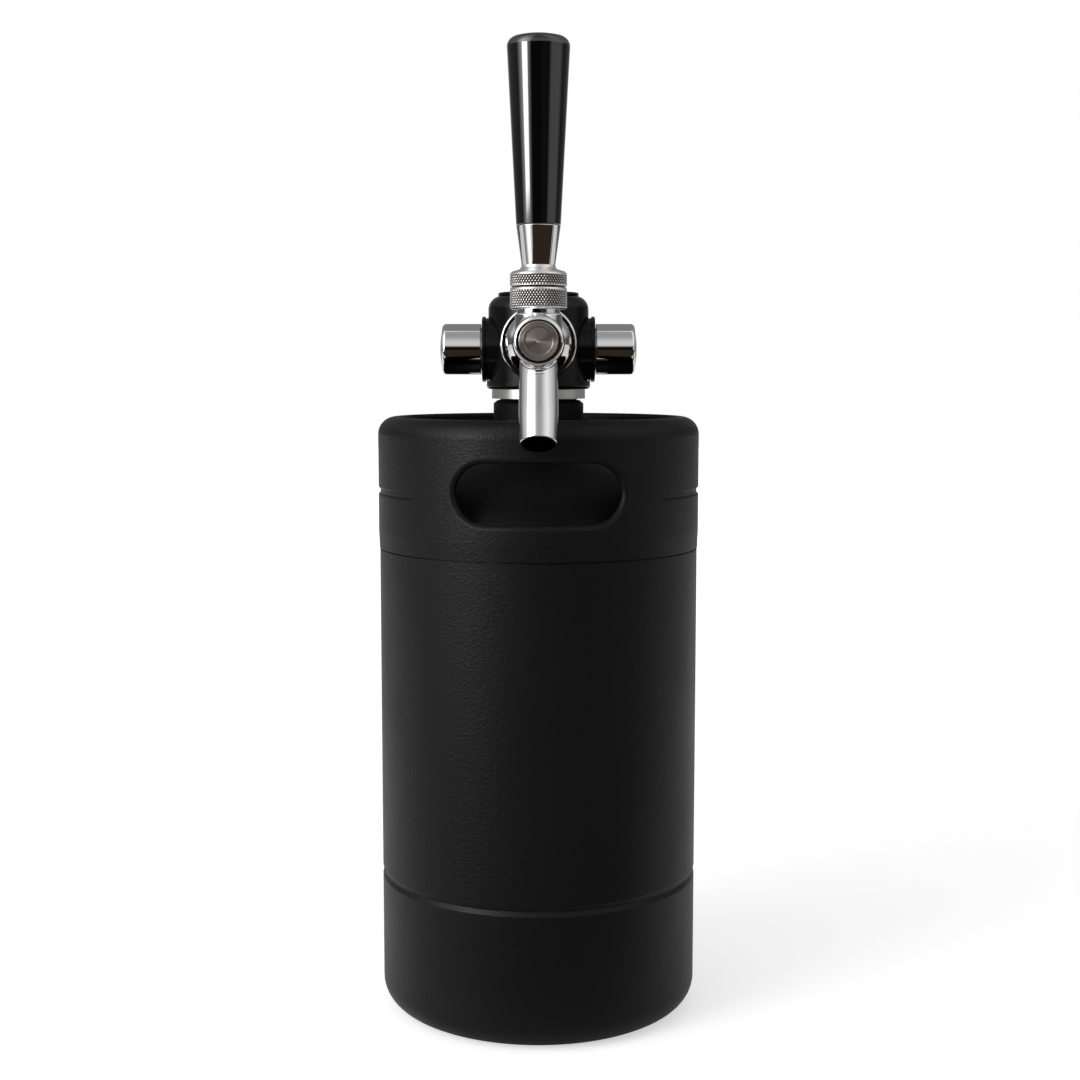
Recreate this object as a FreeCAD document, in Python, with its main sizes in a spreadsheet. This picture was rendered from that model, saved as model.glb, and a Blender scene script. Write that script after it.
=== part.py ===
import FreeCAD, Part
import math
import os
import Sketcher
from types import SimpleNamespace

# Mini keg beer dispenser, in millimetres
# The origin is the centre of the keg's foot, +Z is up and the tap faces -Y

doc = FreeCAD.newDocument("mini_keg_dispenser")
sheet = doc.addObject("Spreadsheet::Sheet", "Sizes")

# Driving dimensions
# Heights named _z are above the floor, those named _y are in front of the keg's axis
driving = {
    # Keg
    "keg_radius": 77.9,
    "keg_wall": 1.0,
    "base_round": 12.3,
    "foot_inset": 17.9,
    "foot_lift": 5,
    "foot_slope": 5,
    "foot_round": 2,
    "bead_z": 67,
    "bead_half": 2.4,
    "bead_depth": 1.1,
    "bead_round": 0.8,
    "seam_z": 227.6,
    "seam_gap": 0.6,
    "dome_overlap": 9,
    "dome_knuckle": 14,
    "dome_flatness": 7.1,
    "neck_radius": 22,
    "neck_bore": 16.2,
    "neck_foot": 3,
    "neck_chamfer_z": 298,
    "neck_shoulder_z": 299.6,
    "neck_shoulder_radius": 20.1,
    "neck_thread_radius": 18.8,
    "neck_top_z": 313,
    # Top chime
    "chime_proud": 0.5,
    "chime_hem_proud": 0.2,
    "chime_hem_height": 8,
    "chime_wall": 1.2,
    "chime_top_z": 291.7,
    "rim_round": 8.5,
    "rim_lip_round": 1.8,
    "rim_lip_drop": 2.2,
    "slot_width": 75,
    "slot_height": 28,
    "slot_z": 258.5,
    "slot_lip": 1.4,
    "slot_lip_depth": 4.6,
    "slot_lip_round": 2.2,
    "side_bead_z": 256,
    "side_bead_half": 1.9,
    "side_bead_depth": 0.9,
    "side_bead_angle": 84,
    # Fits
    "screw_fit": 0.05,
    "slide_fit": 0.05,
    "ball_fit": 0.08,
    "body_gap": 0.3,
    "swing_gap": 0.45,
    # Head core and its gasket
    "ring_radius": 22.8,
    "ring_bottom_z": 300.4,
    "ring_top_z": 305,
    "core_radius": 22,
    "gasket_thick": 2,
    "gasket_squeeze": 0.03,
    "core_top_z": 340,
    "tube_boss_radius": 9,
    "tube_boss_drop": 6,
    "liquid_bore": 3.5,
    "gas_bore": 2,
    "gas_offset": 12.5,
    "port_z": 324.3,
    "tap_z": 326.8,
    "port_thread": 8,
    "port_floor": 10,
    # Dip tube
    "tube_radius": 4.75,
    "tube_wall": 0.8,
    "tube_end_z": 12,
    "tube_nut_radius": 8,
    "tube_nut_height": 8,
    "tube_seal_height": 2,
    # Housing, lid and port collars
    "flange_radius": 25.3,
    "flange_top_z": 309.1,
    "flange_round": 1.6,
    "groove_radius": 24.1,
    "groove_top_z": 310.2,
    "housing_radius": 24.4,
    "shoulder_z": 343.4,
    "shoulder_top_z": 350.1,
    "shoulder_round": 6.7,
    "lid_radius": 19.6,
    "lid_top_z": 351.6,
    "lid_skirt": 17,
    "lid_skirt_wall": 1.6,
    "lid_skirt_depth": 6,
    "lid_round": 0.7,
    "boss_radius": 16,
    "boss_front": 27,
    "collar_radius": 15.85,
    "collar_step": 15.1,
    "collar_face": 27.4,
    "collar_lip": 1.8,
    "collar_bore": 12.6,
    "collar_round": 0.5,
    # Caps, inlet and relief valve, as distances from the keg's axis
    "cap_radius": 12.3,
    "cap_gap": 0.5,
    "cap_end": 47.9,
    "cap_round": 2.4,
    "cap_dome": 1.1,
    "cap_roof": 3,
    "fitting_root": 15,
    "fitting_flange": 12.2,
    "fitting_flange_in": 22.5,
    "fitting_neck": 10.3,
    "fitting_end": 40,
    "port_seal_thick": 1.2,
    "cap_seal_thick": 1.5,
    "cap_seal_bore": 6.2,
    "valve_bore": 5,
    "valve_orifice": 2.2,
    "valve_floor": 2.5,
    "pin_stem": 1.6,
    "pin_head": 4.2,
    "pin_head_thick": 3,
    "spring_wire": 0.45,
    "spring_radius": 3.7,
    "spring_turns": 5,
    "guide_thick": 4,
    "poppet_radius": 4.2,
    "poppet_thick": 2,
    "poppet_seal_thick": 1,
    # Shank, flange and coupling nut, as distances in front of the keg's axis
    "shank_radius": 7.9,
    "shank_root": 11,
    "flange_disc_radius": 18,
    "flange_disc_front": 29.6,
    "flange_disc_round": 1,
    "flange_disc_dish": 16.3,
    "nut_radius": 15.5,
    "nut_back": 30.2,
    "nut_front": 44.5,
    "nut_dome": 9,
    "nut_wall": 2.8,
    "collar_nose": 10.5,
    "shank_end": 36,
    "shank_seal_thick": 1.5,
    # Faucet
    "faucet_thread": 11.2,
    "barrel_radius": 11.2,
    "nose_reach": 20.2,
    "barrel_face": 9.4,
    "barrel_bore": 7.4,
    "rear_bore": 8.5,
    "seat_y": 50,
    "seat_bore": 5.5,
    "seat_land": 2,
    "lever_y": 68,
    "pivot_z": 341,
    "column_radius": 10.6,
    "column_top_z": 339.4,
    "column_round": 1,
    "column_relief": 9.7,
    "column_thread": 10.2,
    "column_rim_z": 345,
    "column_bore": 8.6,
    "spout_tip_y": 93,
    "spout_tip_z": 281.9,
    "spout_lean": 30,
    "spout_root": 8.5,
    "spout_radius": 8.8,
    "spout_swell": 150,
    "spout_tip_radius": 8.3,
    "spout_bore": 7.25,
    "spout_bore_depth": 26,
    "spout_throat": 5.8,
    "spout_taper": 14,
    "blend_round": 2,
    "plug_radius": 8.7,
    "plug_depth": 4.5,
    "plug_disc": 5.9,
    "plug_groove": 6.4,
    "plug_groove_depth": 0.6,
    "plug_seal_thick": 1.2,
    # Valve shaft
    "shaft_radius": 3.5,
    "shaft_head": 83,
    "guide_length": 4,
    "block_radius": 5.6,
    "block_length": 14,
    "slot_play": 0.25,
    "washer_radius": 7,
    "washer_thick": 3,
    "shaft_thread": 2.5,
    "shaft_nut_radius": 4.6,
    "shaft_nut_thick": 3.4,
    # Lever, seals, bonnet and collar
    "handle_tilt": 25,
    "ball_radius": 7,
    "stem_radius": 3.75,
    "finger_root": 3,
    "finger_tip": 2.7,
    "lever_thread": 4.7,
    "lever_top_z": 385,
    "seal_drop": 4.5,
    "seal_cone": 0.6,
    "washer_split": 0.5,
    "ball_washer_rise": 4.2,
    "ball_washer_sphere": 3.3,
    "bonnet_radius": 12.75,
    "bonnet_bottom_z": 341.2,
    "bonnet_sphere": 15.7,
    "bonnet_bevel": 0.7,
    "collar_gap": 0.7,
    "knurl_top_z": 356.8,
    "collar_shoulder": 11.7,
    "collar_shoulder_z": 357.9,
    "collar_cone": 8.9,
    "collar_cone_z": 358.7,
    "collar_neck_z": 360.7,
    "collar_neck_round": 2.6,
    # Handle
    "ferrule_radius": 7.5,
    "ferrule_top": 9.9,
    "ferrule_top_z": 378.1,
    "grip_foot": 9.95,
    "grip_foot_round": 0.5,
    "grip_head": 13.95,
    "grip_crown_height": 5.5,
    "grip_top_z": 461.1,
    "grip_crown": 42,
    "grip_round": 4.2,
    "insert_radius": 7,
    "insert_height": 15,
    "insert_flange": 1,
}


class Size:
    """A length that knows its value and its formula in the sheet's names."""

    def __init__(self, value, text):
        self.value = value
        self.text = text

    def __add__(self, other):
        other = size(other)
        return Size(self.value + other.value, f"({self.text} + {other.text})")

    def __sub__(self, other):
        other = size(other)
        return Size(self.value - other.value, f"({self.text} - {other.text})")

    def __mul__(self, other):
        other = size(other)
        return Size(self.value * other.value, f"({self.text} * {other.text})")

    def __truediv__(self, other):
        other = size(other)
        return Size(self.value / other.value, f"({self.text} / {other.text})")

    def __neg__(self):
        return Size(-self.value, f"(0 - {self.text})")


def size(number):
    """Takes a plain number as a size."""
    return number if isinstance(number, Size) else Size(float(number), f"{number}")


def root(square):
    return Size(math.sqrt(square.value), f"sqrt({square.text})")


def sine(angle):
    return Size(math.sin(math.radians(angle.value)), f"sin({angle.text})")


def cosine(angle):
    return Size(math.cos(math.radians(angle.value)), f"cos({angle.text})")


def fill_sheet():
    """Writes each driving dimension to its own cell and returns them as sizes."""
    named = {}
    for row, (name, value) in enumerate(driving.items(), start=1):
        sheet.set(f"A{row}", name)
        sheet.set(f"B{row}", str(value))
        sheet.setAlias(f"B{row}", name)
        named[name] = Size(float(value), f"Sizes.{name}")
    doc.recompute()
    return SimpleNamespace(**named)


s = fill_sheet()


def keg_foot():
    """Radius of the foot that the keg stands on."""
    return s.keg_radius - s.foot_inset


def dome_crown():
    """Radius of the dome's crown, which is flatter than the keg is round."""
    return s.keg_radius + s.dome_flatness


def chime_radius():
    """Outer radius of the chime, which stands proud of the keg."""
    return s.keg_radius + s.chime_proud


def barrel_nose():
    """Distance of the barrel's front end from the keg's axis."""
    return s.lever_y + s.nose_reach


def circle_height(radius, across):
    """Height above its centre of a circle at a distance across from it."""
    return root(radius * radius - across * across)


# Sketches

class Arc:
    """Between two corners of an outline: an arc, counter-clockwise unless turned."""

    def __init__(self, radius, clockwise=False):
        self.radius = radius
        self.clockwise = clockwise


def direction(start, end):
    """Unit vector of a straight side."""
    across = end[0] - start[0]
    along = end[1] - start[1]
    if abs(across.value) < 1e-9:
        return size(0), size(1 if along.value > 0 else -1)
    if abs(along.value) < 1e-9:
        return size(1 if across.value > 0 else -1), size(0)
    length = root(across * across + along * along)
    return across / length, along / length


def rounded(before, corner, after):
    """Ends and sense of the arc that rounds a corner."""
    into = direction(before, corner)
    out = direction(corner, after)
    turn = into[0] * out[0] + into[1] * out[1]
    reach = corner[2] * root((size(1) - turn) / (size(1) + turn))
    first = (corner[0] - into[0] * reach, corner[1] - into[1] * reach)
    last = (corner[0] + out[0] * reach, corner[1] + out[1] * reach)
    cross = into[0].value * out[1].value - into[1].value * out[0].value
    return first, last, cross < 0


def sides(outline):
    """Turns corners, rounded corners and arcs into a closed list of (start, end, arc)."""
    corners = [tuple(size(value) for value in item) for item in outline if not isinstance(item, Arc)]
    arcs = {}
    place_in_list = -1
    for item in outline:
        if isinstance(item, Arc):
            arcs[place_in_list] = item
        else:
            place_in_list += 1
    path = []
    count = len(corners)
    for place_in_list, corner in enumerate(corners):
        if len(corner) == 3:
            before = corners[place_in_list - 1]
            after = corners[(place_in_list + 1) % count]
            first, last, clockwise = rounded(before, corner, after)
            path.append((first, Arc(corner[2], clockwise)))
            path.append((last, arcs.get(place_in_list)))
        else:
            path.append((corner, arcs.get(place_in_list)))
    starts = [start for start, arc in path]
    return [(start, starts[(i + 1) % len(starts)], arc) for i, (start, arc) in enumerate(path)]


def vector(point):
    return FreeCAD.Vector(point[0].value, point[1].value, 0)


def arc_edge(start, end, arc):
    """The shorter arc of a given radius from start to end."""
    first = vector(start)
    last = vector(end)
    chord = last - first
    side = FreeCAD.Vector(-chord.y, chord.x, 0).normalize() * (-1 if arc.clockwise else 1)
    rise = math.sqrt(max(arc.radius.value ** 2 - (chord.Length / 2) ** 2, 0))
    centre = (first + last) * 0.5 + side * rise
    ends = [math.atan2(p.y - centre.y, p.x - centre.x) for p in (first, last)]
    if arc.clockwise:
        ends.reverse()
    circle = Part.Circle(centre, FreeCAD.Vector(0, 0, 1), arc.radius.value)
    return Part.ArcOfCircle(circle, ends[0], ends[1])


def bind(item, name, length):
    """Ties a property to the sheet, or sets it when it is a plain number."""
    if "Sizes." in length.text:
        item.setExpression(name, length.text)


def draw(sketch, outline):
    """Draws a closed outline with its corners and radii tied to the sheet."""
    path = sides(outline)
    offset = sketch.GeometryCount
    count = len(path)
    for start, end, arc in path:
        edge = arc_edge(start, end, arc) if arc else Part.LineSegment(vector(start), vector(end))
        sketch.addGeometry(edge, False)
    for i, (start, end, arc) in enumerate(path):
        following = path[(i + 1) % count][2]
        leaving = 1 if arc and arc.clockwise else 2
        entering = 2 if following and following.clockwise else 1
        sketch.addConstraint(Sketcher.Constraint(
            "Coincident", offset + i, leaving, offset + (i + 1) % count, entering))
    for i, (start, end, arc) in enumerate(path):
        vertex = 2 if arc and arc.clockwise else 1
        for kind, length in (("DistanceX", start[0]), ("DistanceY", start[1])):
            made = sketch.addConstraint(
                Sketcher.Constraint(kind, -1, 1, offset + i, vertex, length.value))
            bind(sketch, f"Constraints[{made}]", length)
        if arc:
            made = sketch.addConstraint(
                Sketcher.Constraint("Radius", offset + i, arc.radius.value))
            bind(sketch, f"Constraints[{made}]", arc.radius)


def new_sketch(body, name, plane_role="XZ_Plane"):
    """A sketch on one of its body's own origin planes."""
    plane = [item for item in body.Origin.OriginFeatures if item.Role == plane_role][0]
    sketch = body.newObject("Sketcher::SketchObject", name)
    sketch.AttachmentSupport = [(plane, "")]
    sketch.MapMode = "FlatFace"
    return sketch


# Placing and combining

FACING = {
    "up": FreeCAD.Rotation(),
    "down": FreeCAD.Rotation(FreeCAD.Vector(1, 0, 0), 180),
    "front": FreeCAD.Rotation(FreeCAD.Vector(1, 0, 0), 90),
    "left": FreeCAD.Rotation(FreeCAD.Vector(0, 1, 0), -90),
    "right": FreeCAD.Rotation(FreeCAD.Vector(0, 1, 0), 90),
}


def place(item, at=(0, 0, 0), facing="up"):
    """Sets an object's own Z axis along a direction, at a place tied to the sheet."""
    at = [size(value) for value in at]
    position = FreeCAD.Vector(*[value.value for value in at])
    item.Placement = FreeCAD.Placement(position, FACING[facing])
    for letter, value in zip("xyz", at):
        bind(item, f"Placement.Base.{letter}", value)
    return item


def lean(item, angle):
    """Leans an object that faces down towards the front."""
    bind(item, "Placement.Rotation.Angle", size(180) - angle)
    return item


def turned(name, outline, at=(0, 0, 0), facing="up"):
    """A turned piece: an outline of (radius, height) about its own Z axis."""
    body = doc.addObject("PartDesign::Body", name)
    sketch = new_sketch(body, name + "_outline")
    draw(sketch, outline)
    turn = body.newObject("PartDesign::Revolution", name + "_turned")
    turn.Profile = sketch
    turn.ReferenceAxis = (sketch, ["V_Axis"])
    turn.Angle = 360
    return place(body, at, facing)


def prism(name, outline, thickness, plane_role="XZ_Plane"):
    """A flat outline padded both ways from its plane."""
    body = doc.addObject("PartDesign::Body", name)
    sketch = new_sketch(body, name + "_outline", plane_role)
    draw(sketch, outline)
    pad = body.newObject("PartDesign::Pad", name + "_pad")
    pad.Profile = sketch
    pad.Midplane = True
    bind(pad, "Length", thickness)
    pad.Length = thickness.value
    return body


def rod(name, radius, length, at, facing):
    """A plain cylinder, used as a tool for bores."""
    cylinder = doc.addObject("Part::Cylinder", name)
    cylinder.Radius = radius.value
    cylinder.Height = length.value
    bind(cylinder, "Radius", radius)
    bind(cylinder, "Height", length)
    return place(cylinder, at, facing)


def fuse(name, items):
    made = doc.addObject("Part::MultiFuse", name)
    made.Shapes = items
    made.Refine = True
    return made


def cut(name, base, tools):
    made = doc.addObject("Part::Cut", name)
    made.Base = base
    made.Tool = tools[0] if len(tools) == 1 else fuse(name + "_bores", tools)
    made.Refine = True
    return made


def common(name, first, second):
    made = doc.addObject("Part::MultiCommon", name)
    made.Shapes = [first, second]
    return made


def fillet(name, base, radius, wanted):
    """Rounds the edges of a base that a test picks."""
    doc.recompute()
    picked = [i for i, edge in enumerate(base.Shape.Edges, start=1) if wanted(edge)]
    made = doc.addObject("Part::Fillet", name)
    made.Base = base
    made.Edges = [(i, radius.value, radius.value) for i in picked]
    return made


def ring(name, inner, outer, low, high, at=(0, 0, 0), facing="up", rounding=0):
    """A plain washer or tube with its outer edges rounded."""
    edge = size(rounding)
    outside = [(outer, low), (outer, high)]
    if edge.value:
        outside = [(outer, low, edge), (outer, high, edge)]
    return turned(name, [(inner, low)] + outside + [(inner, high)], at, facing)


pieces = []


def piece(item):
    pieces.append(item)
    return item


# Keg

def rolled_bead(radius, height, inward):
    """The corners of a rolled bead groove, going up."""
    return [
        (radius, height - s.bead_half, s.bead_round),
        (radius - inward, height, s.bead_round),
        (radius, height + s.bead_half, s.bead_round),
    ]


def keg_body():
    """Deep-drawn cup with a rounded corner, a raised foot and a rolled bead."""
    wall = s.keg_wall
    inside = s.keg_radius - wall
    slope_end = keg_foot() - s.foot_slope
    outline = [
        (0, s.foot_lift),
        (slope_end, s.foot_lift, s.foot_round),
        (keg_foot(), 0, s.foot_round),
        (s.keg_radius, 0, s.base_round),
        *rolled_bead(s.keg_radius, s.bead_z, s.bead_depth),
        (s.keg_radius, s.seam_z),
        (inside, s.seam_z),
        *reversed(rolled_bead(inside, s.bead_z, s.bead_depth)),
        (inside, wall, s.base_round - wall),
        (keg_foot(), wall, s.foot_round),
        (slope_end, s.foot_lift + wall, s.foot_round),
        (0, s.foot_lift + wall),
    ]
    return turned("keg_body", outline)


def dome_height(across, inset):
    """Height of the dome's crown at a radius, on a skin set inwards."""
    centre = dome_centre()
    return centre + circle_height(dome_crown() - inset, across)


def dome_centre():
    """Height of the centre of the dome's crown."""
    skirt = s.keg_radius - s.keg_wall
    return s.seam_z - circle_height(dome_crown() - s.dome_knuckle, skirt - s.dome_knuckle)


def keg_dome():
    """Dished end: a skirt inside the keg body, a knuckle and a crown up to the neck."""
    skirt = s.keg_radius - s.keg_wall
    knuckle = skirt - s.dome_knuckle
    share = dome_crown() - s.dome_knuckle
    rise = s.seam_z - dome_centre()

    def skin(inset):
        """Corners of one skin from the skirt's edge to the neck."""
        meet = (dome_crown() - inset) / share
        return [
            (skirt - inset, s.seam_z - s.dome_overlap),
            (skirt - inset, s.seam_z),
            (knuckle * meet, dome_centre() + rise * meet),
            (s.neck_radius, dome_height(s.neck_radius, inset)),
        ]

    outer = skin(size(0))
    inner = skin(s.keg_wall)
    outline = [
        outer[0], outer[1], Arc(s.dome_knuckle), outer[2], Arc(dome_crown()), outer[3],
        inner[3], Arc(dome_crown() - s.keg_wall, True), inner[2],
        Arc(s.dome_knuckle - s.keg_wall, True), inner[1], inner[0],
    ]
    return turned("keg_dome", outline)


def keg_neck():
    """Neck collar with a chamfered shoulder and the head's thread above it."""
    foot = dome_height(s.neck_radius, s.keg_wall) - s.neck_foot
    outline = [
        (s.neck_bore, foot),
        (s.neck_radius, foot),
        (s.neck_radius, s.neck_chamfer_z),
        (s.neck_shoulder_radius, s.neck_shoulder_z),
        (s.neck_thread_radius, s.neck_shoulder_z),
        (s.neck_thread_radius, s.neck_top_z),
        (s.neck_bore, s.neck_top_z),
    ]
    return turned("keg_neck", outline)


def stadium(width, height, middle):
    """A slot with round ends, drawn counter-clockwise about a height."""
    end = height / 2
    left = -(width / 2)
    right = width / 2
    return [
        (left + end, middle - end),
        (right - end, middle - end), Arc(end), (right, middle), Arc(end),
        (right - end, middle + end),
        (left + end, middle + end), Arc(end), (left, middle), Arc(end),
    ]


def chime_skirt():
    """The chime's rolled sheet: a hemmed skirt with a curled rim."""
    wall = s.chime_wall
    low = s.seam_z + s.seam_gap
    hem = low + s.chime_hem_height
    curl = s.chime_top_z - s.rim_round
    crest = chime_radius() - s.rim_round
    lip = crest - s.rim_lip_round
    fold = s.chime_top_z - s.rim_lip_round
    inside = s.keg_radius - s.keg_wall
    outline = [
        (inside, low), (s.keg_radius + s.chime_hem_proud, low), (chime_radius(), hem),
        (chime_radius(), curl), Arc(s.rim_round), (crest, s.chime_top_z),
        Arc(s.rim_lip_round), (lip, fold), (lip, fold - s.rim_lip_drop),
        (lip + wall, fold - s.rim_lip_drop), (lip + wall, fold),
        Arc(s.rim_lip_round - wall, True), (crest, s.chime_top_z - wall),
        Arc(s.rim_round - wall, True), (chime_radius() - wall, curl),
        (chime_radius() - wall, hem),
    ]
    skirt = turned("chime_skirt", outline)
    for side, mirror in (("right", 1), ("left", -1)):
        rib = side_bead(skirt, side + "_rib", mirror, s.chime_wall + s.side_bead_depth, 1.6)
        band = skirt.newObject("PartDesign::Revolution", side + "_rib_band")
        bead_turn(skirt, band, rib)
        groove = side_bead(skirt, side + "_bead", mirror, s.side_bead_depth, 1)
        trough = skirt.newObject("PartDesign::Groove", side + "_bead_groove")
        bead_turn(skirt, trough, groove)
    return skirt


def side_bead(body, name, mirror, depth, swell):
    """The section of a side bead, tapering inwards from the chime's outer face."""
    sketch = new_sketch(body, name)
    outside = chime_radius() * mirror
    inside = (chime_radius() - depth) * mirror
    half = s.side_bead_half * swell
    outline = [
        (outside, s.side_bead_z - half), (outside, s.side_bead_z + half),
        (inside, s.side_bead_z + half * 0.5), (inside, s.side_bead_z - half * 0.5),
    ]
    draw(sketch, outline)
    return sketch


def bead_turn(body, feature, sketch):
    """Sweeps a bead's section round one side of the chime."""
    feature.Profile = sketch
    feature.ReferenceAxis = (sketch, ["V_Axis"])
    feature.Midplane = True
    feature.Angle = s.side_bead_angle.value
    bind(feature, "Angle", s.side_bead_angle)
    body.Tip = feature


def top_chime():
    """Chime ring with rolled-in handle slots through its front and back."""
    lip = s.slot_lip
    width = chime_radius() * 3
    opening = stadium(s.slot_width, s.slot_height, s.slot_z)
    around = stadium(s.slot_width + lip * 2, s.slot_height + lip * 2, s.slot_z)
    half = s.slot_height / 2 + lip * 2
    band = ring("slot_lip_band", chime_radius() - s.slot_lip_depth, chime_radius(),
                s.slot_z - half, s.slot_z + half)
    lips = common("slot_lips", prism("slot_lip_prism", around, width), band)
    walls = fuse("chime_walls", [chime_skirt(), lips])
    opened = cut("chime_opened", walls, [prism("slot_prism", opening, width)])

    def on_slot_edge(edge):
        outside = all(abs(math.hypot(v.X, v.Y) - chime_radius().value) < 0.01 for v in edge.Vertexes)
        near = abs(edge.CenterOfMass.x) < s.slot_width.value / 2
        level = abs(edge.CenterOfMass.z - s.slot_z.value) < s.slot_height.value / 2 + 0.01
        return outside and near and level and edge.Length > s.slot_height.value / 2

    return fillet("top_chime", opened, s.slot_lip_round, on_slot_edge)


# Head

def gasket_bottom():
    return s.neck_top_z + s.gasket_squeeze


def gasket_top():
    return gasket_bottom() + s.gasket_thick


def core_floor():
    """Height of the core's underside above the gasket."""
    return gasket_top() + s.gasket_squeeze


def head_core():
    """Machined block: neck thread below, tap socket in front, a gas port on each side."""
    thread = s.neck_thread_radius + s.screw_fit
    boss_end = core_floor() - s.tube_boss_drop
    outline = [
        (0, boss_end), (s.tube_boss_radius, boss_end), (s.tube_boss_radius, core_floor()),
        (thread, core_floor()), (thread, s.ring_bottom_z), (s.ring_radius, s.ring_bottom_z),
        (s.ring_radius, s.ring_top_z), (s.core_radius, s.ring_top_z),
        (s.core_radius, s.core_top_z), (0, s.core_top_z),
    ]
    block = turned("core_block", outline)
    depth = s.core_radius - s.port_floor
    socket_depth = s.core_radius - s.shank_root
    tube_top = core_floor() - s.tube_boss_drop
    seal_room = s.tube_seal_height * 2
    tools = [
        rod("core_left_port", s.port_thread, depth + 5, (-s.port_floor, 0, s.port_z), "left"),
        rod("core_right_port", s.port_thread, depth + 5, (s.port_floor, 0, s.port_z), "right"),
        rod("core_tap_socket", s.shank_radius, socket_depth + 5,
            (0, -s.shank_root, s.tap_z), "front"),
        rod("core_liquid_cross", s.liquid_bore, s.shank_root + 2, (0, 1, s.tap_z), "front"),
        rod("core_liquid_rise", s.tube_radius - s.tube_wall, s.tap_z - tube_top + s.liquid_bore + 1,
            (0, 0, tube_top), "up"),
        rod("core_tube_socket", s.tube_radius, s.tube_boss_drop + seal_room,
            (0, 0, tube_top - 1), "up"),
    ]
    for name, side in (("core_left_gas", -1), ("core_right_gas", 1)):
        at = (s.gas_offset * side, 0, core_floor() - 1)
        tools.append(rod(name, s.gas_bore, s.port_z - core_floor(), at, "up"))
    return cut("head_core", block, tools)


def dip_tube():
    """Straight tube from the core's socket down to just above the keg's floor."""
    return ring("dip_tube", s.tube_radius - s.tube_wall, s.tube_radius, s.tube_end_z,
                core_floor() - 1)


def dip_tube_nut():
    """Nut below the boss that squeezes the tube's seal."""
    top = core_floor() - s.tube_boss_drop
    seal = top - s.tube_seal_height
    low = top - s.tube_nut_height
    outline = [
        (s.tube_radius, low), (s.tube_nut_radius, low, 0.6), (s.tube_nut_radius, top),
        (s.tube_radius + s.tube_seal_height, top), (s.tube_radius + s.tube_seal_height, seal),
        (s.tube_radius, seal),
    ]
    return turned("dip_tube_nut", outline)


def dip_tube_seal():
    top = core_floor() - s.tube_boss_drop
    return ring("dip_tube_seal", s.tube_radius, s.tube_radius + s.tube_seal_height,
                top - s.tube_seal_height, top)


def head_housing():
    """Shell over the core, with a foot flange, a round shoulder and a boss for the tap."""
    skirt = s.lid_skirt
    outline = [
        (s.core_radius, s.ring_top_z), (s.flange_radius, s.ring_top_z, s.flange_round),
        (s.flange_radius, s.flange_top_z), (s.groove_radius, s.flange_top_z),
        (s.groove_radius, s.groove_top_z), (s.housing_radius, s.groove_top_z),
        (s.housing_radius, s.shoulder_top_z, s.shoulder_round),
        (skirt, s.shoulder_top_z), (skirt, s.core_top_z), (s.core_radius, s.core_top_z),
    ]
    shell = turned("housing_shell", outline)
    boss = rod("housing_tap_boss", s.boss_radius, s.boss_front, (0, 0, s.tap_z), "front")
    hollow = rod("housing_hollow", s.core_radius, s.core_top_z - s.ring_top_z + 1,
                 (0, 0, s.ring_top_z - 1), "up")
    reach = s.boss_front + 5
    tools = [
        hollow,
        rod("housing_tap_hole", s.shank_radius, reach, (0, 0, s.tap_z), "front"),
        rod("housing_left_hole", s.fitting_flange, reach, (0, 0, s.port_z), "left"),
        rod("housing_right_hole", s.fitting_flange, reach, (0, 0, s.port_z), "right"),
    ]
    return cut("head_housing", fuse("housing_outer", [shell, boss]), tools)


def head_lid():
    """Thin lid whose skirt plugs the housing's top."""
    low = s.shoulder_top_z
    outline = [
        (0, low), (s.lid_skirt - s.lid_skirt_wall, low),
        (s.lid_skirt - s.lid_skirt_wall, low - s.lid_skirt_depth),
        (s.lid_skirt, low - s.lid_skirt_depth), (s.lid_skirt, low), (s.lid_radius, low),
        (s.lid_radius, s.lid_top_z, s.lid_round), (0, s.lid_top_z),
    ]
    return turned("head_lid", outline)


def port_collar(side):
    """Stepped collar that saddles the housing round a port."""
    start = size(10)
    lip = s.collar_face - s.collar_lip
    outline = [
        (s.fitting_flange, start), (s.collar_step, start), (s.collar_step, lip),
        (s.collar_radius, lip, s.collar_round), (s.collar_radius, s.collar_face, s.collar_round),
        (s.fitting_flange, s.collar_face),
    ]
    solid = turned(side + "_collar_solid", outline, (0, 0, s.port_z), side)
    saddle = rod(side + "_collar_saddle", s.housing_radius, s.lid_top_z - s.ring_top_z,
                 (0, 0, s.ring_top_z), "up")
    return cut(side + "_port_collar", solid, [saddle])


# Gas inlet on the left and relief valve on the right, drawn outwards from the keg's axis

def side_piece(name, outline, side):
    return turned(name, outline, (0, 0, s.port_z), side)


def port_fitting(name, side):
    """Valve body: screws into the core, and carries the cap on its nose."""
    seat = s.fitting_root + s.valve_floor
    guide = s.fitting_end - s.guide_thick
    outline = [
        (s.valve_orifice, s.fitting_root), (s.port_thread, s.fitting_root),
        (s.port_thread, s.fitting_flange_in),
        (s.fitting_flange, s.fitting_flange_in),
        (s.fitting_flange, s.collar_face), (s.fitting_neck, s.collar_face),
        (s.fitting_neck, s.fitting_end), (s.valve_bore + 1, s.fitting_end),
        (s.valve_bore + 1, guide), (s.valve_bore, guide), (s.valve_bore, seat),
        (s.valve_orifice, seat),
    ]
    return side_piece(name, outline, side)


def port_seal(name, side):
    """Flat ring between the fitting's flange and the core."""
    thick = s.fitting_flange_in - s.core_radius
    return side_piece(name, [
        (s.port_thread, s.core_radius), (s.fitting_flange - s.port_seal_thick, s.core_radius),
        (s.fitting_flange - s.port_seal_thick, s.core_radius + thick),
        (s.port_thread, s.core_radius + thick),
    ], side)


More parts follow.
